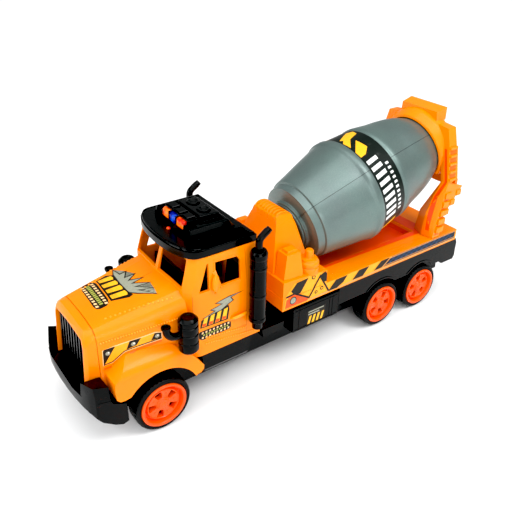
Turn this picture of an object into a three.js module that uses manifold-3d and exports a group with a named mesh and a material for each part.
// Toy cement mixer truck, push-along, about 37 cm long.
// Millimetres, +Z up, the truck's nose points to -Y and its left side to +X.
// The ground is z = 0. Stations along the truck are written from a working
// datum behind the cab; the outer group moves the whole model so that the
// origin is the middle of its footprint.
import * as THREE from 'three';
import { mergeVertices } from 'three/addons/utils/BufferGeometryUtils.js';
import { ConvexGeometry } from 'three/addons/geometries/ConvexGeometry.js';
import Module from 'manifold-3d';

const wasm = await Module();
wasm.setup();

// ---------------------------------------------------------------- dimensions
const LENGTH_SHIFT = -30;            // datum to centre of footprint, along Y
const GAP = 0.3;                     // clearance between moulded pieces

const TYRE_R = 21.2, TYRE_IN = 30.4, TYRE_OUT = 45.4, TYRE_FACETS = 24;
const RIM_FACETS = 16, RIM_R = 17.4, RIM_FACE = 46.2, RIM_BACK = 31.0;
const AXLE_R = 1.5, AXLE_Z = 21.2;
const AXLE_FRONT = -101.2, AXLE_MID = 114.2, AXLE_REAR = 164.8;

const WALL = 2.2;                    // moulded wall thickness
const TUB_X = 25, TUB_Z0 = 15.3, TUB_TOP_FRONT = 43.6, TUB_TOP_REAR = 56.3;
const PLATE_Z0 = 12.6, PLATE_Z1 = 15.0;

const BED_X = 43.4, BED_Y0 = 3, BED_Y1 = 210.1, BED_Z0 = 56.6, BED_Z1 = 67.4;
const BLOCK_Y1 = 47.6, BLOCK_Z_FRONT = 82.1, BLOCK_Z_REAR = 79.4;
const WELL_X = 22.5, WELL_Y0 = 50, WELL_Y1 = 172, WELL_FLOOR = 60.4;

const CAB_X = 39.9, CAB_Y1 = -15.5, CAB_Z0 = 44.7, CAB_TOP = 123.9;
const ROOF_Z0 = 124.2, ROOF_LIP = 129.3, ROOF_TOP = 131.0;
const HOOD_Y0 = -137.6, HOOD_Y1 = -76;
const ARCH_R = 29.5;                 // front wheel arch

const DRUM_TILT = THREE.MathUtils.degToRad(15.2);
const DRUM_PARTING = 45;             // degrees, where the two drum halves meet
const DRUM_Z = 90.1;                 // height of the drum axis over the datum
const SHAFT_R = 5, SHAFT_S0 = 30, SHAFT_S1 = 214.5;

const EXHAUST = [46.9, -23.3], EXHAUST_R = 6.6;
const FILTER = [46.1, -80.5], FILTER_R = 7.1;

const GEAR_TEETH = 18, PINION_TEETH = 8, MODULE = 0.6;

// ---------------------------------------------------------------- materials
const mat = (color, roughness, metalness = 0) =>
  new THREE.MeshStandardMaterial({ color, roughness, metalness });
const ORANGE = () => mat(0xff8a1c, 0.42);
const RIM_ORANGE = () => mat(0xff6a24, 0.42);
const BLACK = () => mat(0x14191a, 0.35);
const TYRE = () => mat(0x101213, 0.6);
const SILVER = () => mat(0x8c9091, 0.45, 0.2);
const STEEL = () => mat(0xb8bcc0, 0.3, 1);

// ---------------------------------------------------------------- helpers
// Turn any closed three.js geometry into a manifold solid with outward faces.
function solid(geometry) {
  let g = geometry.clone();
  for (const name of Object.keys(g.attributes)) if (name !== 'position') g.deleteAttribute(name);
  g = mergeVertices(g, 1e-4);
  const pos = g.attributes.position;
  const tris = [];
  for (let i = 0; i < g.index.count; i += 3) {
    const a = g.index.getX(i), b = g.index.getX(i + 1), c = g.index.getX(i + 2);
    if (a !== b && b !== c && a !== c) tris.push(a, b, c);
  }
  let volume = 0;
  const A = new THREE.Vector3(), B = new THREE.Vector3(), C = new THREE.Vector3();
  for (let i = 0; i < tris.length; i += 3) {
    A.fromBufferAttribute(pos, tris[i]); B.fromBufferAttribute(pos, tris[i + 1]); C.fromBufferAttribute(pos, tris[i + 2]);
    volume += A.dot(B.cross(C));
  }
  if (volume < 0) for (let i = 0; i < tris.length; i += 3) [tris[i], tris[i + 1]] = [tris[i + 1], tris[i]];
  return new wasm.Manifold(new wasm.Mesh({
    numProp: 3, vertProperties: new Float32Array(pos.array), triVerts: new Uint32Array(tris),
  }));
}
function geometryOf(manifold) {
  const m = manifold.getMesh();
  const g = new THREE.BufferGeometry();
  g.setAttribute('position', new THREE.BufferAttribute(new Float32Array(m.vertProperties), 3));
  g.setIndex(new THREE.BufferAttribute(new Uint32Array(m.triVerts), 1));
  g.computeVertexNormals();
  return g;
}
const join = (...parts) => parts.reduce((a, b) => a.add(b));
const cut = (body, ...tools) => tools.reduce((a, b) => a.subtract(b), body);

const shapeOf = (pts) => new THREE.Shape(pts.map(([a, b]) => new THREE.Vector2(a, b)));
function extrude(pts, depth, basis) {
  const g = new THREE.ExtrudeGeometry(shapeOf(pts), { depth, bevelEnabled: false, steps: 1 });
  g.applyMatrix4(basis);
  return g;
}
const V = (x, y, z) => new THREE.Vector3(x, y, z);
// profile given as [y, z], run along X
function alongX(pts, x0, x1) {
  const m = new THREE.Matrix4().makeBasis(V(0, 1, 0), V(0, 0, 1), V(1, 0, 0)).setPosition(x0, 0, 0);
  return solid(extrude(pts, x1 - x0, m));
}
// profile given as [x, z], run along Y
function alongY(pts, y0, y1) {
  const m = new THREE.Matrix4().makeBasis(V(1, 0, 0), V(0, 0, 1), V(0, -1, 0)).setPosition(0, y1, 0);
  return solid(extrude(pts, y1 - y0, m));
}
// profile given as [x, y], run along Z
function alongZ(pts, z0, z1) {
  return solid(extrude(pts, z1 - z0, new THREE.Matrix4().makeTranslation(0, 0, z0)));
}
function box(x0, x1, y0, y1, z0, z1) {
  const g = new THREE.BoxGeometry(x1 - x0, y1 - y0, z1 - z0);
  g.translate((x0 + x1) / 2, (y0 + y1) / 2, (z0 + z1) / 2);
  return solid(g);
}
const hull = (pts) => solid(new ConvexGeometry(pts.map(([x, y, z]) => V(x, y, z))));
// both sides of the truck: every [x, y, z] and its mirror image
const both = (pts) => pts.concat(pts.map(([x, y, z]) => [-x, y, z]));
// solid of revolution: profile [radius, height along the axis], closed on the axis or on itself
function turned(profile, segments, phi = 0) {
  return new THREE.LatheGeometry(profile.map(([r, h]) => new THREE.Vector2(r, h)), segments, phi);
}
function turnedZ(profile, segments, x = 0, y = 0, phi = 0) {
  const g = turned(profile, segments, phi);
  g.rotateX(Math.PI / 2);
  g.translate(x, y, 0);
  return solid(g);
}
function turnedX(profile, segments, y = 0, z = 0, phi = 0) {
  const g = turned(profile, segments, phi);
  g.rotateZ(-Math.PI / 2);           // +Y axis of the lathe becomes +X
  g.translate(0, y, z);
  return solid(g);
}
const rod = (r, h0, h1) => [[0, h0], [r, h0], [r, h1], [0, h1]];
function sweep(points, radius, sides = 8, steps = 7) {
  const circle = new THREE.Shape();
  for (let i = 0; i < sides; i++) {
    const a = (i / sides) * 2 * Math.PI;
    if (i) circle.lineTo(radius * Math.cos(a), radius * Math.sin(a));
    else circle.moveTo(radius, 0);
  }
  const path = new THREE.CatmullRomCurve3(points.map(([x, y, z]) => V(x, y, z)), false, 'centripetal');
  return solid(new THREE.ExtrudeGeometry(circle, { steps, extrudePath: path, bevelEnabled: false }));
}
function mirrored(manifold) {
  const g = geometryOf(manifold);
  g.scale(-1, 1, 1);
  return solid(g);
}

const truck = new THREE.Group();
truck.position.set(0, LENGTH_SHIFT, 0);
const drumGroup = new THREE.Group();
drumGroup.position.set(0, 0, DRUM_Z);
drumGroup.rotation.x = DRUM_TILT;
truck.add(drumGroup);
function put(name, manifold, material, parent = truck) {
  const mesh = new THREE.Mesh(geometryOf(manifold), material);
  mesh.name = name;
  parent.add(mesh);
  return mesh;
}

// ---------------------------------------------------------------- cab shell
// Bonnet: tapered box with rounded shoulders, front section then rear section.
const hoodSection = (y, w, z0, zs, top, inset) => {
  const k = inset;
  return both([
    [w - k, y, z0], [w - k, y, zs - k * 0.3], [w - 1.4 - k, y, zs + (top - zs) * 0.5 - k * 0.6],
    [w - 5 - k, y, top - 1.9 - k], [w * 0.5 - k, y, top - 0.5 - k], [3, y, top - k],
  ]);
};
const hood = hull([
  ...hoodSection(HOOD_Y0, 28.4, 44, 80.3, 90.4, 0),
  ...both([[38.2, HOOD_Y1, CAB_Z0], [38.2, HOOD_Y1, 81.3], [37.2, HOOD_Y1, 88], [33.6, HOOD_Y1, 95.6], [29, HOOD_Y1, 99.6], [20, HOOD_Y1, 101.2], [3, HOOD_Y1, 101.8]]),
]);
const hoodInside = hull([
  ...hoodSection(HOOD_Y0 - 3, 28.2, 30, 80, 90.2, WALL),
  ...both([[36, HOOD_Y1 + 4, 30], [36, HOOD_Y1 + 4, 79.8], [34.8, HOOD_Y1 + 4, 87], [31, HOOD_Y1 + 4, 94], [26, HOOD_Y1 + 4, 98], [3, HOOD_Y1 + 4, 99.6]]),
]);
// Cab body: upright, its front corners angled, leaning back a little above the bonnet.
const cabOuter = hull([
  ...both([[0, -79.4, CAB_Z0], [33.3, -77.4, CAB_Z0], [38.2, -72.6, CAB_Z0], [CAB_X, -67, CAB_Z0], [CAB_X, CAB_Y1, CAB_Z0]]),
  ...both([[0, -79.4, 101.5], [33.3, -77.4, 101.5], [38.2, -72.6, 99], [CAB_X, -67, 97], [CAB_X, CAB_Y1, 97]]),
  ...both([[0, -72.6, CAB_TOP], [32.6, -70.8, CAB_TOP], [36.4, -66.6, CAB_TOP], [38.4, -60.5, CAB_TOP], [38.4, -17.5, CAB_TOP]]),
]);
const cabInner = hull([
  ...both([[0, -77.2, 30], [32.4, -75.2, 30], [36.3, -71.4, 30], [CAB_X - WALL, -66.4, 30], [CAB_X - WALL, CAB_Y1 - WALL, 30]]),
  ...both([[0, -77.2, 101.5], [32.4, -75.2, 101.5], [36.3, -71.4, 99], [CAB_X - WALL, -66.4, 97], [CAB_X - WALL, CAB_Y1 - WALL, 97]]),
  ...both([[0, -68.6, 140], [31, -67, 140], [34.4, -63.4, 140], [36.0, -58.2, 140], [36.0, -20.5, 140]]),
]);
// Front wings: a side profile crossed with a rounded section.
const wingSide = [
  [-134.2, 42.0], [-134.9, 50], [-134.6, 54.9], [-130.8, 57.6], [-126, 62], [-121.5, 65.4], [-117, 66.6], [-106, 66.8], [-96, 66.2], [-88, 63.2],
  [-80.5, 57.2], [-74.5, 50], [-67.6, 40.2], [-67.8, 36.8], [-70.2, 34.6], [-72.9, 34.3],
];
for (let i = 0; i <= 12; i++) {
  const a = THREE.MathUtils.degToRad(24 + (i * (141 - 24)) / 12);
  wingSide.push([AXLE_FRONT + ARCH_R * Math.cos(a), AXLE_Z + ARCH_R * Math.sin(a)]);
}
wingSide.push([-128.4, 39.0], [-132, 39.6]);
wingSide.reverse();
const wingSection = [[25, 20], [44.2, 20], [44.2, 55.5], [43.4, 58.2], [41.2, 60.8], [37.6, 63.4], [33, 65.6], [29, 67.4], [25, 67.4]];
const wing = alongX(wingSide, 24, 46).intersect(alongY(wingSection, -136, -66));
const wings = join(wing, mirrored(wing));

const arch = turnedX(rod(ARCH_R, 26.6, 60), 36, AXLE_FRONT, AXLE_Z);
const windows = [];
const pane = alongY([[1.9, 102.6], [16, 102.4], [32.4, 101.4], [32.0, 112], [30.8, 121.9], [1.9, 122.4]], -90, -62);
windows.push(pane, mirrored(pane));
const quarter = [[-60.6, 118.9], [-67.6, 98.2], [-59.5, 98.0], [-59.5, 118.9]];
const sideLight = [[-54, 118.2], [-54, 107.4], [-51.2, 103.6], [-50.6, 98.2], [-33.5, 98.2], [-33.5, 113], [-36.3, 117.2]];
windows.push(alongX(quarter, 30, 50), alongX(quarter, -50, -30), alongX(sideLight, 30, 50), alongX(sideLight, -50, -30));
windows.push(alongY([[-20, 98], [20, 98], [22, 101], [22, 114], [19, 117], [-19, 117], [-22, 114], [-22, 101]], CAB_Y1 - 6, CAB_Y1 + 3));

let cab = join(hood, cabOuter, wings);
cab = cut(cab, hoodInside, cabInner, arch, mirrored(arch), ...windows);
// underside of the bonnet and cab sides is one clean line
cab = cut(cab, box(-24.6, 24.6, -150, -60, 20, 60));
// moulded door mirror and handle on each door
const mirrorBoss = hull([[38.6, -56.8, 111.5], [38.6, -53.6, 112], [38.6, -50.8, 104], [38.6, -49.6, 99], [38.6, -52, 93.6], [38.6, -56, 93.4], [38.6, -57.4, 99],
  [41.6, -55.6, 109.5], [41.6, -54, 109.5], [42.1, -52, 103], [42.1, -51.4, 98.6], [42.1, -53.2, 95.4], [42.1, -55.2, 95.6], [42.1, -56, 100]]);
const handle = hull([[38.6, -40.6, 68.6], [38.6, -40.6, 65.6], [38.6, -28.8, 68.4], [38.6, -28.8, 65.4], [41.7, -39.4, 68.2], [41.7, -39.4, 66.4], [41.7, -30, 68], [41.7, -30, 66.2]]);
cab = join(cab, mirrorBoss, mirrored(mirrorBoss), handle, mirrored(handle));
put('cab_shell', cab, ORANGE());

// ---------------------------------------------------------------- front end
const surroundOuter = hull([
  ...hoodSection(HOOD_Y0 - GAP, 28.4, 44, 80.3, 90.4, 0),
  ...both([[26.6, -143.6, 44], [26.6, -143.2, 79.5], [25.2, -143.0, 85.4], [20.5, -143.0, 88.2], [3, -143.0, 89.0]]),
  ...both([[25.0, -147.9, 44.6], [25.0, -145.8, 78.8], [22.8, -145.5, 83.4], [3, -145.4, 85.4], [27.2, -145.6, 44.2], [27.0, -143.9, 79], [24.4, -143.6, 85.4], [3, -143.4, 87.6]]),
]);
const surround = cut(surroundOuter, hull([
  ...both([[24.1, -152, 46.9], [24.1, -150, 76.8], [21.6, -150, 82.6], [3, -150, 83.8], [24.1, -137, 46.9], [24.1, -137, 76.8], [21.6, -137, 82.6], [3, -137, 83.8]]),
]), box(-24.1, 24.1, -150, -130, 40, 47));
put('grille_surround', surround, ORANGE());

let grille = hull(both([[23.8, -143.2, 44.6], [23.8, -142.0, 76.6], [21.3, -142.0, 82.3], [3, -142.0, 83.5], [23.8, -138.6, 44.6], [23.8, -138.6, 76.6], [21.3, -138.6, 82.3], [3, -138.6, 83.5]]));
for (let i = -4; i <= 4; i++) {
  const x = i * 4.9, top = Math.abs(i) === 4 ? 79.2 : 82.6;
  grille = grille.add(hull([[x - 1.35, -142.6, 46.6], [x + 1.35, -142.6, 46.6], [x - 1.35, -141.2, top], [x + 1.35, -141.2, top],
    [x - 0.8, -146.2, 46.6], [x + 0.8, -146.2, 46.6], [x - 0.8, -144.2, top], [x + 0.8, -144.2, top]]));
}
put('grille_insert', grille, BLACK());

const bumperSide = [[-156, 43], [-154.8, 46.2], [-147.5, 43.6], [-137.5, 41.4], [-135.6, 38], [-126.6, 34], [-126.2, 18.2], [-130.4, 16.9], [-136, 19.6], [-144.2, 26], [-150, 33.8], [-156, 40]];
let bumper = alongX(bumperSide.slice().reverse(), -41.6, 41.6);
const cheek = hull([[29.2, -153.4, 40], [41.6, -150.8, 40], [29.2, -152.0, 55.4], [40.2, -148.4, 56.4], [29.2, -138.4, 40], [41.6, -137.4, 40], [29.2, -138.8, 54], [40.2, -137.6, 52.6]]);
bumper = join(bumper, cheek, mirrored(cheek));
bumper = cut(bumper, box(-25.4, 25.4, -134, -120, 10, 50));
const bowed = [[0, -156], [12, -155.6], [22, -154.6], [30, -153], [37, -150.6], [41, -147.6], [42, -144], [42, -110]];
bumper = bumper.intersect(alongZ(bowed.concat(bowed.slice(1).reverse().map(([x, y]) => [-x, y])).reverse(), 5, 70));
bumper = cut(bumper, hull(both([[26, -132.5, 10], [26, -132.5, 50], [43, -124, 10], [43, -124, 50], [26, -120, 10], [26, -120, 50]])));
put('front_bumper', bumper, BLACK());

// ---------------------------------------------------------------- cab inside
let inside = box(-36.6, 36.6, -64, -19, 44.7, 47.0);
for (const s of [-1, 1]) {
  inside = join(inside,
    hull([[s * 6, -44, 46], [s * 31, -44, 46], [s * 6, -21, 46], [s * 31, -21, 46], [s * 7, -43, 66], [s * 30, -43, 66], [s * 7, -21, 64], [s * 30, -21, 64]]),
    hull([[s * 7, -28, 60], [s * 30, -28, 60], [s * 7, -21, 60], [s * 30, -21, 60], [s * 9, -24.6, 99], [s * 28, -24.6, 99], [s * 9, -20.4, 99], [s * 28, -20.4, 99]]));
}
inside = inside.add(hull(both([[34, -63.5, 46], [34, -57, 46], [33, -63.5, 92], [33, -59, 92], [32, -60, 95.4], [32, -63.5, 96]])));
put('cab_interior', inside, BLACK());

const wheelGeo = new THREE.TorusGeometry(8.2, 0.95, 5, 14);
const hubGeo = new THREE.CylinderGeometry(2.4, 2.4, 1.8, 8);
hubGeo.rotateX(Math.PI / 2);
let steering = solid(wheelGeo).add(solid(hubGeo));
for (const a of [90, 210, 330]) {
  const bar = new THREE.BoxGeometry(8.4, 1.5, 1.2);
  bar.translate(4.4, 0, 0);
  bar.rotateZ(THREE.MathUtils.degToRad(a));
  steering = steering.add(solid(bar));
}
const steerMesh = put('steering_wheel', steering, BLACK());
steerMesh.position.set(18, -53.6, 97.5);
steerMesh.rotation.x = THREE.MathUtils.degToRad(62);

// ---------------------------------------------------------------- roof module
const visor = [[38.1, -19.1], [38.1, -62], [37.8, -66.6], [36.4, -69.8], [32.2, -73.1], [27.6, -75.2], [22.6, -76.8], [16, -78.1], [8.7, -78.9], [0, -79.2]];
const visorLoop = visor.concat(visor.slice(0, -1).reverse().map(([x, y]) => [-x, y])).reverse();
const shrink = (pts, k) => pts.map(([x, y]) => [x * (1 - k / 38), y < -45 ? y + k : y - k]);
const roofTop = shrink(visorLoop, 1.6);
let roof = join(alongZ(visorLoop, ROOF_Z0, ROOF_LIP),
  hull([...visorLoop.map(([x, y]) => [x * 0.985, y < -45 ? y + 0.6 : y - 0.6, ROOF_LIP - 0.4]), ...roofTop.map(([x, y]) => [x, y, ROOF_TOP])]));
// raised fairing with a rim, a lamp bank in front and a slope behind
roof = roof.add(hull(both([[25.4, -65.2, 130], [25.4, -30, 130], [24.2, -64.2, 138.4], [24.2, -33, 138.4], [22.8, -63.8, 138.9], [22.8, -33.6, 138.9], [22, -26.4, 130.6]])));
roof = roof.add(hull(both([[16.4, -62, 136], [16.4, -52, 136], [15.6, -61.4, 141.8], [15.6, -52.4, 140.8], [14.6, -61, 142.4], [14.6, -52.4, 141.4]])));
roof = cut(roof, box(-15, 15, -70, -60, 134.2, 141.2));           // lamp bay
roof = cut(roof, hull(both([[14.9, -58, 133.6], [22.2, -58, 133.6], [14.9, -70, 133.6], [22.2, -70, 133.6], [16.9, -57, 142], [22.2, -57, 142], [16.9, -70, 142], [22.2, -70, 142]]).filter(([x]) => x > 0)));
roof = cut(roof, hull(both([[14.9, -58, 133.6], [22.2, -58, 133.6], [14.9, -70, 133.6], [22.2, -70, 133.6], [16.9, -57, 142], [22.2, -57, 142], [16.9, -70, 142], [22.2, -70, 142]]).filter(([x]) => x < 0)));
roof = cut(roof, box(16.3, 21.6, -50, -35.4, 133.8, 142), box(-21.6, -16.3, -50, -35.4, 133.8, 142)); // side troughs
roof = cut(roof, box(-15.9, 15.9, -51.7, -34.8, 134, 146));       // seat for the button plate
for (let i = 0; i < 5; i++) {                                     // louvre ridges beside the fairing
  for (const s of [-1, 1]) {
    const x = s * (26.9 + i * 2.1);
    roof = roof.add(hull([[x - 0.7, -44, 130.4], [x + 0.7, -44, 130.4], [x - 0.7, -24, 130.4], [x + 0.7, -24, 130.4], [x - 0.3, -43, 131.9], [x + 0.3, -43, 131.9], [x - 0.3, -24.6, 131.9], [x + 0.3, -24.6, 131.9]]));
  }
}
// hollow from below, and through to the lamp bay and the button plate
roof = cut(roof, box(-33.5, 33.5, -60, -23.5, 120, 128.9),
  box(-21.4, 21.4, -59.6, -35.6, 127, 132.2),
  box(-14.4, 14.4, -62.5, -53, 127, 139.2),
  box(-14.4, 14.4, -51, -36, 127, 136));
put('roof_shell', roof, BLACK());

put('roof_base', cut(box(-33.1, 33.1, -59.6, -23.9, 124.4, 126.0), box(-30, -26, -58, -25, 120, 124.9), box(26, 30, -58, -25, 120, 124.9)), BLACK());

const BUTTON_AT = [[7.3, -43.2], [-7.3, -43.2]], BUTTON_R = 4.6;
let topPlate = hull(both([[15.6, -51.4, 136.4], [15.6, -35.1, 136.4], [15.6, -51.4, 141.9], [15.2, -35.1, 140.9], [14.8, -50.6, 142.5], [14.6, -35.8, 141.6]]));
topPlate = cut(topPlate, box(-13.4, 13.4, -49.2, -37, 130, 139.6));
for (const [x, y] of BUTTON_AT) topPlate = cut(topPlate, turnedZ(rod(BUTTON_R + 0.4, 130, 150), 16, x, y));
put('roof_plate', topPlate, BLACK());
const buttonProfile = [[0, 136.9], [BUTTON_R + 0.9, 136.9], [BUTTON_R + 0.9, 138.2], [BUTTON_R, 138.2], [BUTTON_R, 142.6], [BUTTON_R - 0.6, 143.2], [2.4, 143.2], [2.0, 142.8], [0, 142.8]];
BUTTON_AT.forEach(([x, y], i) => put(i ? 'button_sound' : 'button_light', turnedZ(buttonProfile, 16, x, y), BLACK()));

const lens = (x0, x1) => hull([[x0, -62.4, 134.6], [x1, -62.4, 134.6], [x0, -62.4, 140.8], [x1, -62.4, 140.8],
  [x0 + 0.8, -64.6, 135.4], [x1 - 0.8, -64.6, 135.4], [x0 + 0.8, -64.2, 140.2], [x1 - 0.8, -64.2, 140.2], [(x0 + x1) / 2, -65.2, 136.4], [(x0 + x1) / 2, -65, 139.4],
  [x0, -60.6, 134.6], [x1, -60.6, 134.6], [x0, -60.6, 140.8], [x1, -60.6, 140.8]]);
put('beacon_lens_right', lens(-14.6, -5.1), mat(0xff5a1e, 0.15));
put('beacon_lens_centre', lens(-4.7, 4.7), mat(0x1f66ff, 0.15));
put('beacon_lens_left', lens(5.1, 14.6), mat(0xff5a1e, 0.15));

put('circuit_board', box(-13.6, 13.6, -50.4, -36.6, 133.2, 134.6), mat(0x1d6b3a, 0.5));
put('speaker', turnedZ([[0, 127.0], [9.6, 127.0], [9.6, 128.4], [7.2, 128.6], [5.2, 130.6], [0, 131.4]], 24, 0, -43.4), mat(0x2a2a2c, 0.4, 0.4));
[[-22.6, -44], [22.6, -44], [0, -57.6]].forEach(([x, y], i) =>
  put(`battery_cell_${i + 1}`, turnedZ(rod(i === 2 ? 1.9 : 5.8, 126.3, i === 2 ? 128 : 128.6), 20, x, y), STEEL()));

// ---------------------------------------------------------------- stacks and air filters
function exhaustStack() {
  const [x, y] = EXHAUST;
  const can = turnedZ([[0, 56.4], [3.9, 56.4], [3.9, 61], [EXHAUST_R, 63.4], [EXHAUST_R, 66.2], [6.2, 66.8], [6.2, 115.4], [EXHAUST_R, 116], [EXHAUST_R, 119.6], [5.4, 121.9], [0, 121.9]], 14, x, y);
  const pipe = sweep([[x, y, 120.5], [x, y, 127.5], [x, y + 1.1, 130.6], [x, y + 4.0, 133.0], [x, y + 8.8, 136.2]], 2.6, 7, 6);
  const lugs = join(box(CAB_X + GAP, x, y - 1.8, y + 1.8, 70, 74), box(CAB_X + GAP, x, y - 1.8, y + 1.8, 88, 92));
  return join(can, pipe, lugs);
}
const stack = exhaustStack();
put('exhaust_stack_left', stack, BLACK());
put('exhaust_stack_right', mirrored(stack), BLACK());

function airFilter() {
  const [x, y] = FILTER, R = FILTER_R;
  const can = turnedZ([[0, 60.6], [5.4, 60.6], [R, 62.6], [R, 75.3], [R - 0.7, 75.9], [R, 76.6], [R, 81.8], [R - 0.7, 82.5], [R, 83.1], [R, 86.6], [R - 2.2, 88.9], [0, 88.9]], 14, x, y);
  const elbow = sweep([[x - 0.8, y - 3, 76.2], [x - 0.9, y - 8, 75.6], [x - 1, y - 12.4, 76.9], [x - 1.2, y - 15.2, 80.2], [x - 1.4, y - 15.9, 85]], 2.7, 7, 7);
  const cap = turnedZ(rod(3.3, 84.2, 86), 10, x - 1.4, y - 15.9);
  return join(can, elbow, cap);
}
const filter = airFilter();
put('air_filter_left', filter, BLACK());
put('air_filter_right', mirrored(filter), BLACK());

// ---------------------------------------------------------------- bed
const blockTop = (y) => BLOCK_Z_FRONT + ((BLOCK_Z_REAR - BLOCK_Z_FRONT) * (y - BED_Y0)) / (BLOCK_Y1 - BED_Y0);
let bed = box(-BED_X, BED_X, BED_Y0, BED_Y1, BED_Z0, BED_Z1);
bed = bed.add(hull(both([[BED_X, BED_Y0, BED_Z0], [BED_X, BLOCK_Y1, BED_Z0], [BED_X - 0.6, BED_Y0 + 0.6, BLOCK_Z_FRONT - 0.2], [BED_X - 0.6, BLOCK_Y1, BLOCK_Z_REAR - 0.2], [BED_X - 1.6, BED_Y0 + 1.4, BLOCK_Z_FRONT], [BED_X - 1.6, BLOCK_Y1 - 0.6, BLOCK_Z_REAR]])));
bed = cut(bed, box(-BED_X + WALL, BED_X - WALL, BED_Y0 + WALL, BED_Y1 - WALL, 50, BED_Z1 - WALL),
  hull(both([[BED_X - WALL - 0.8, BED_Y0 + WALL + 0.8, 55], [BED_X - WALL - 0.8, BLOCK_Y1 - WALL, 55], [BED_X - WALL - 0.8, BED_Y0 + WALL + 0.8, BLOCK_Z_FRONT - WALL - 0.6], [BED_X - WALL - 0.8, BLOCK_Y1 - WALL, BLOCK_Z_REAR - WALL - 0.4]])));
bed = bed.add(box(-WELL_X - 1.8, WELL_X + 1.8, WELL_Y0 - 1.8, WELL_Y1 + 1.8, WELL_FLOOR - 2.2, BED_Z1));
bed = cut(bed, box(-WELL_X, WELL_X, WELL_Y0, WELL_Y1, WELL_FLOOR, 90));
// moulded tool chest and filler pot on each side of the block
for (const s of [-1, 1]) {
  bed = bed.add(hull([[s * 29.4, 5.2, 80.6], [s * 40.7, 5.2, 80.6], [s * 41, 24.4, 79.6], [s * 29.4, 24.4, 79.6], [s * 24.8, 11, 100.2], [s * 36.2, 11, 100.2], [s * 36.2, 24.2, 100.2], [s * 24.8, 24.2, 100.2]]));
  bed = bed.add(hull([[s * 26.6, 12.6, 99.6], [s * 34.6, 12.6, 99.6], [s * 34.6, 22.6, 99.6], [s * 26.6, 22.6, 99.6], [s * 27.4, 13.4, 102.2], [s * 33.8, 13.4, 102.2], [s * 33.8, 21.8, 102.2], [s * 27.4, 21.8, 102.2]]));
  bed = bed.add(turnedZ([[0, 78], [7.2, 78], [7.2, 90.4], [6.6, 91.6], [3.1, 91.9], [2.9, 97.6], [2.2, 98.8], [0, 99]], 14, s * 35.6, 33.6));
}
put('bed', bed, ORANGE());

// ---------------------------------------------------------------- drum stands
const axisTool = (r, s0, s1, n = 20) => {           // cylinder on the drum axis
  const g = turned(rod(r, s0, s1), n);
  g.rotateX(DRUM_TILT);
  g.translate(0, 0, DRUM_Z);
  return solid(g);
};
let pedestal = hull(both([
  [28.2, 4.4, blockTop(4.4) + GAP], [27, 41, blockTop(41) + GAP], [26.6, 6, 88], [25.4, 39.6, 88],
  [17.4, 14.2, 112], [17.6, 33.6, 113.4], [16.2, 15.2, 116.2], [16.4, 32.2, 117.2],
]));
pedestal = pedestal.add(hull(both([                  // rounded crest, then its ribs
  [16.1, 15.3, 116], [16.2, 32, 117], [14.6, 16.4, 121], [14.6, 31.6, 120.5], [13, 18.6, 122.6], [13, 22, 123.6], [13, 28, 122.6], [13, 31, 120.4],
])));
for (let i = 0; i < 7; i++) {
  const x = -12 + i * 4;
  pedestal = pedestal.add(hull([x - 1, x + 1].flatMap((k) => [[k, 16.3, 119], [k, 18.2, 123.2], [k, 22, 124.4], [k, 28, 123.4], [k, 31, 120.9], [k, 30, 119]])));
}
pedestal = cut(pedestal,
  axisTool(SHAFT_R + 0.3, SHAFT_S0 - 1, 60), axisTool(9.0, 32.6, 60),
  hull([[-22, 10, 60], [22, 10, 60], [-20, 27, 60], [20, 27, 60], [-13, 17, 110], [13, 17, 110], [-13, 27, 110], [13, 27, 110]]));
put('drum_pedestal', pedestal, ORANGE());

// Rear frame: a flat arch with bent, ribbed legs and a bearing web behind the drum.
const archLoop = [[-19.6, 178.4], [-20.2, 170.4], [-23, 168.6], [-34, 167.6], [-38.4, 151.6], [-30, 147], [-30, 134], [30, 134], [30, 147], [38.4, 151.6], [34, 167.6], [23, 168.6], [20.2, 170.4], [19.6, 178.4]];
let frame = alongY(archLoop.slice().reverse(), 184.4, 194.4);
frame = frame.add(hull(both([[19.6, 184.4, 170], [19.6, 184.4, 178.2], [20.4, 196.6, 181.2], [20.4, 196.6, 170]])));
// cross bar between the knees, carrying an upright with the rear bearing boss
frame = join(frame,
  hull(both([[38, 201.8, 110], [38, 205.4, 110], [38, 201.8, 118], [38, 205.4, 118]])),
  hull(both([[20, 201.8, 112], [20, 205.4, 112], [11, 201.8, 150], [11, 205.4, 150]])),
  hull(both([[11, 201.8, 150], [11, 205.4, 150], [14, 192.6, 172], [14, 196.4, 176]])));
for (const s of [-1, 1]) {
  const S0 = [[19.4, 178], [31.5, 172.6], [42.8, 175.2], [42.8, 185], [25, 186]].map(([x, y]) => [s * x, y, BED_Z1 + GAP]);
  const S1 = [[s * 22, 178.5, 88], [s * 33, 173, 91.5], [s * 43, 178, 88], [s * 43, 186.4, 88.6], [s * 26, 189, 88]];
  const S2 = [[s * 36.4, 184, 121], [s * 43.6, 184.4, 120.6], [s * 43.4, 206, 113.2], [s * 36.4, 203, 113]];
  const S2b = [[s * 36, 184, 118], [s * 43.4, 184.6, 118], [s * 43.4, 196.4, 122.6], [s * 35.6, 196.4, 122.6]];
  const S3 = [[s * 29.8, 184.4, 150], [s * 38.2, 184.4, 151.4], [s * 39.4, 194.4, 152], [s * 29.8, 194.4, 150]];
  frame = join(frame, hull([...S0, ...S1]), hull([...S1, ...S2]), hull([...S2b, ...S3]));
}
frame = cut(frame, axisTool(33.5, 150, 201.4, 32), axisTool(SHAFT_R + 0.3, 198, 230), axisTool(8.4, 204.4, 211.6));
put('rear_frame', frame, ORANGE());

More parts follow.
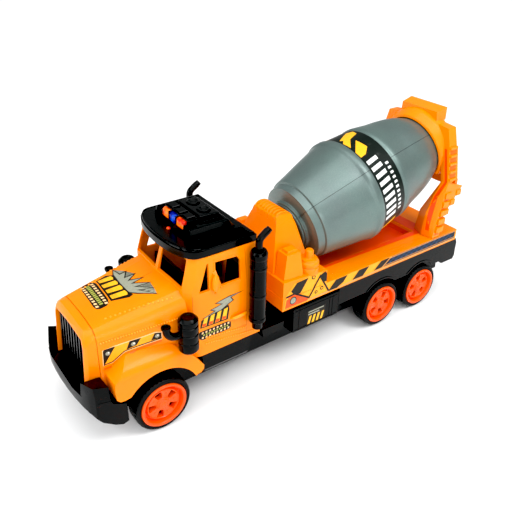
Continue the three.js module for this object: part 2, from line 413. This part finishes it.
const bush = (r1, r2, s0, s1) => solid(turned([[r1, s0], [r2, s0], [r2, s1], [r1, s1], [r1, s0]], 20));
put('drum_front_bush', bush(SHAFT_R + 0.25, 8.7, 33, 37.2), BLACK(), drumGroup);
put('drum_rear_bush', bush(SHAFT_R + 0.25, 8.1, 208, 211.3), BLACK(), drumGroup);
put('drum_shaft', solid(turned(rod(SHAFT_R, SHAFT_S0, SHAFT_S1), 20)), BLACK(), drumGroup);

// ---------------------------------------------------------------- drum, two halves
const drumOuter = [[SHAFT_R + 0.15, 41], [19.8, 41], [19.8, 44.4], [33.2, 45], [34.7, 54], [39.5, 76], [44.6, 99.6],
  [46.3, 101.4], [46.3, 106.2], [45, 107.4], [43.9, 121], [42.9, 133], [43.6, 134.6], [43.2, 138.6],
  [39.8, 153], [36.4, 172], [31, 186], [25, 200], [SHAFT_R + 0.15, 200]];
const drumInner = [[SHAFT_R + 0.15, 198], [23, 198], [34.4, 171.4], [41.2, 131], [42.6, 104], [37.5, 76.5], [32, 46.8], [SHAFT_R + 0.15, 43]];
const drumLoop = drumOuter.concat(drumInner, [drumOuter[0]]);
const drum = solid(turned(drumLoop, 30, Math.PI / 30));
// the parting plane stands 45 degrees round from the top at rest
put('drum_shell_left', cut(drum, box(-60, 0.1, 20, 230, -60, 60).rotate([0, DRUM_PARTING, 0])), SILVER(), drumGroup);
put('drum_shell_right', cut(drum, box(-0.1, 60, 20, 230, -60, 60).rotate([0, DRUM_PARTING, 0])), SILVER(), drumGroup);

// ---------------------------------------------------------------- chassis
let tub = join(
  box(-TUB_X, TUB_X, -133.5, 0, TUB_Z0, TUB_TOP_FRONT),
  box(-TUB_X, TUB_X, -13, 213, TUB_Z0, TUB_TOP_REAR));
tub = cut(tub,
  box(-TUB_X + 2, TUB_X - 2, -131.5, -2, 5, TUB_TOP_FRONT - 2),
  box(-TUB_X + 2, TUB_X - 2, -6, 211, 5, TUB_TOP_REAR - 2));
const sidePieces = (s) => {
  const panel = [[63, 56.3], [63, 39.4], [88, 39.4], [191, 38], [196, 34.6], [212.4, 34.4], [214.2, 38], [214.2, 51.6], [212.6, 56.3]];
  let p = alongX(panel.slice().reverse(), Math.min(s * 24, s * 42.9), Math.max(s * 24, s * 42.9));
  for (const y of [AXLE_MID, AXLE_REAR]) {
    const w = turnedX(rod(24.4, 26.4, 60), 28, y, AXLE_Z);
    p = p.subtract(s > 0 ? w : mirrored(w));
  }
  return join(p,
    hull([[s * 24, -66.6, 44.4], [s * 39.8, -66.6, 44.4], [s * 39.8, -23, 44.4], [s * 24, -23, 44.4], [s * 39.8, -65.4, 31], [s * 38, -63, 28], [s * 24, -63, 28], [s * 39.8, -26, 31], [s * 38, -27, 28], [s * 24, -27, 28]]),
    hull([[s * 24, -13.4, 49.2], [s * 40, -13.4, 44.4], [s * 40, 8.6, 44.4], [s * 24, 8.6, 49.2], [s * 40, -12, 37.2], [s * 24, -12, 36.6], [s * 40, 7, 37.2], [s * 24, 7, 36.6]]),
    hull([[s * 24, 14.7, 56.2], [s * 42.4, 14.7, 53.2], [s * 42.4, 63.2, 53.2], [s * 24, 63.2, 56.2], [s * 43, 15.2, 51.6], [s * 43, 15.2, 31.4], [s * 43, 62.6, 31.4], [s * 43, 62.6, 51.6], [s * 41.4, 16, 29.8], [s * 41.4, 62, 29.8], [s * 24, 16, 29.8], [s * 24, 62, 29.8]]));
};
tub = join(tub, sidePieces(1), sidePieces(-1));
for (const y of [AXLE_FRONT, AXLE_MID, AXLE_REAR]) tub = cut(tub, turnedX(rod(AXLE_R + 0.2, -28, 28), 12, y, AXLE_Z));
tub = cut(tub, box(-TUB_X + 2, TUB_X - 2, -12.6, 211, 5, TUB_TOP_REAR - 2), box(-TUB_X + 2, TUB_X - 2, -131.5, 0, 5, TUB_TOP_FRONT - 2));
const SCREWS = [[0, -118], [0, -60], [0, 60], [0, 200]];
for (const [x, y] of SCREWS) {
  const top = y < -10 ? TUB_TOP_FRONT - 1 : TUB_TOP_REAR - 1;
  tub = tub.add(turnedZ(rod(3.6, TUB_Z0, top), 16, x, y));
  tub = cut(tub, turnedZ(rod(1.35, 10, 31), 12, x, y));
}
put('chassis_tub', tub, BLACK());

const plateLoop = [[-23.4, -129], [23.4, -129], [23.4, 209], [-23.4, 209]];
let plate = alongZ(plateLoop, PLATE_Z0, PLATE_Z1);
for (const y of [AXLE_FRONT, AXLE_MID, AXLE_REAR]) {
  // saddles that carry each axle from below
  for (const s of [-1, 1]) plate = plate.add(box(Math.min(s * 17.4, s * 22.2), Math.max(s * 17.4, s * 22.2), y - 3.4, y + 3.4, PLATE_Z1 - 0.5, AXLE_Z));
  plate = cut(plate, turnedX(rod(AXLE_R + 0.2, -28, 28), 12, y, AXLE_Z));
}
for (const [x, y] of SCREWS) plate = cut(plate, turnedZ(rod(1.6, 5, 20), 12, x, y), turnedZ([[0, 12], [2.9, 12], [2.9, 13.9], [0, 13.9]], 16, x, y));
put('chassis_plate', plate, BLACK());

const screwProfile = [[0, 12.9], [2.5, 12.9], [2.5, 13.6], [1.1, 13.8], [1.1, 28.4], [0.4, 30], [0, 30]];
SCREWS.forEach(([x, y], i) => {
  const slot = (a, b) => box(x - a, x + a, y - b, y + b, 12.4, 13.3);
  put(`chassis_screw_${i + 1}`, cut(turnedZ(screwProfile, 10, x, y), slot(1.6, 0.3)), STEEL());
});

// tail lamps on the rear panels
for (const s of [-1, 1]) {
  put(s > 0 ? 'tail_lamp_left' : 'tail_lamp_right',
    hull([[s * 34, 214.5, 42], [s * 41.6, 214.5, 42], [s * 34, 214.5, 49.6], [s * 41.6, 214.5, 49.6], [s * 35, 216, 43], [s * 40.6, 216, 43], [s * 35, 216, 48.6], [s * 40.6, 216, 48.6]]),
    mat(0xff4a1a, 0.2));
}

// ---------------------------------------------------------------- wheels
const rimProfile = [[AXLE_R + 0.1, 27.4], [4.2, 27.4], [4.2, 40.6], [14.2, 41.2], [14.8, RIM_BACK], [RIM_R, RIM_BACK], [RIM_R, RIM_FACE - 0.6], [16.8, RIM_FACE],
  [15.3, RIM_FACE], [12.6, 43.3], [4.6, 43.3], [4.2, 45.2], [AXLE_R + 0.1, 45.2]];
const rimLoop = rimProfile.concat([rimProfile[0]]);
const tyreLoop = [[RIM_R + 0.15, TYRE_IN], [TYRE_R - 1.6, TYRE_IN], [TYRE_R, TYRE_IN + 1.7], [TYRE_R, TYRE_OUT - 1.5], [TYRE_R - 1.5, TYRE_OUT], [RIM_R + 0.15, TYRE_OUT]];
const tyreClosed = tyreLoop.concat([tyreLoop[0]]);
const facetTurn = Math.PI / TYRE_FACETS;             // puts one flat facet on the ground
const apothem = (r) => r / Math.cos(Math.PI / TYRE_FACETS);
function wheelPair(tag, y) {
  let rim = solid((() => { const g = turned(rimLoop, RIM_FACETS, Math.PI / RIM_FACETS); g.rotateZ(-Math.PI / 2); g.translate(0, y, AXLE_Z); return g; })());
  for (let i = 0; i < 5; i++) {
    const g = new THREE.BoxGeometry(12, 3.6, 5.4);
    g.translate(42, 0, 8.7);
    g.rotateX((i * 2 * Math.PI) / 5);
    g.translate(0, y, AXLE_Z);
    rim = rim.subtract(solid(g));
  }
  const tyre = solid((() => {
    const g = turned(tyreClosed.map(([r, h]) => [r > RIM_R + 1 ? apothem(r) : apothem(r), h]), TYRE_FACETS, facetTurn);
    g.rotateZ(-Math.PI / 2); g.translate(0, y, AXLE_Z); return g;
  })());
  put(`rim_${tag}_left`, rim, RIM_ORANGE());
  put(`rim_${tag}_right`, mirrored(rim), RIM_ORANGE());
  put(`tyre_${tag}_left`, tyre, TYRE());
  put(`tyre_${tag}_right`, mirrored(tyre), TYRE());
}
wheelPair('front', AXLE_FRONT);
wheelPair('mid', AXLE_MID);
wheelPair('rear', AXLE_REAR);

const plainAxle = (y) => turnedX(rod(AXLE_R, -44.6, 44.6), 12, y, AXLE_Z);
put('axle_front', plainAxle(AXLE_FRONT), STEEL());
put('axle_mid', plainAxle(AXLE_MID), STEEL());
put('axle_rear', plainAxle(AXLE_REAR), STEEL());

// ---------------------------------------------------------------- friction motor on the middle axle
function gearLoop(teeth, turn) {
  const pitch = (MODULE * teeth) / 2, ra = pitch + 0.62 * MODULE, rf = pitch - 0.95 * MODULE;
  const step = (2 * Math.PI) / teeth, pts = [];
  for (let i = 0; i < teeth; i++) {
    const c = i * step + turn;
    for (const [r, k] of [[rf, -0.27], [ra, -0.11], [ra, 0.11], [rf, 0.27]]) pts.push([r * Math.cos(c + k * step), r * Math.sin(c + k * step)]);
  }
  return pts;
}
const CENTRES = (MODULE * (GEAR_TEETH + PINION_TEETH)) / 2 + 0.12;
const FLY_Y = AXLE_MID - CENTRES, GEAR_X0 = 6, GEAR_X1 = 9.4;
// the pinion lies straight ahead (-Y) of the axle: a gear tooth points at it, a pinion gap faces it
const gear = alongX(gearLoop(GEAR_TEETH, Math.PI).map(([a, b]) => [AXLE_MID + a, AXLE_Z + b]), GEAR_X0, GEAR_X1);
put('drive_gear', cut(join(gear, turnedX(rod(3.2, 3.4, 9.4), 14, AXLE_MID, AXLE_Z)), turnedX(rod(AXLE_R + 0.2, 0, 20), 14, AXLE_MID, AXLE_Z)), mat(0xf2efe6, 0.5));
const pinion = alongX(gearLoop(PINION_TEETH, Math.PI / PINION_TEETH).map(([a, b]) => [FLY_Y + a, AXLE_Z + b]), GEAR_X0 - 0.4, GEAR_X1 + 0.4);
put('flywheel', join(pinion,
  turnedX([[0, -13.4], [1.4, -13.4], [1.4, -9], [1.7, -9], [1.7, -6.4], [5.6, -6.4], [5.6, 2.4], [1.7, 2.4], [1.7, 9.9], [1.4, 9.9], [1.4, 13.4], [0, 13.4]], 16, FLY_Y, AXLE_Z)), STEEL());
let motor = box(-15.4, 15.4, FLY_Y - 9.5, AXLE_MID + 9.6, TUB_Z0 + 0.6, 32.4);
motor = cut(motor, box(-13.6, 13.6, FLY_Y - 7.9, AXLE_MID + 8.0, 5, 30.8),
  turnedX(rod(AXLE_R + 0.2, -28, 28), 12, AXLE_MID, AXLE_Z));
motor = motor.add(join(box(-14.4, -11.2, FLY_Y - 3.2, FLY_Y + 3.2, TUB_Z0 + 0.6, 31), box(11.2, 14.4, FLY_Y - 3.2, FLY_Y + 3.2, TUB_Z0 + 0.6, 31)));
motor = cut(motor, turnedX(rod(1.65, -13.8, 13.8), 20, FLY_Y, AXLE_Z));
put('friction_motor_case', motor, mat(0xd9d9d4, 0.5));

export default truck;
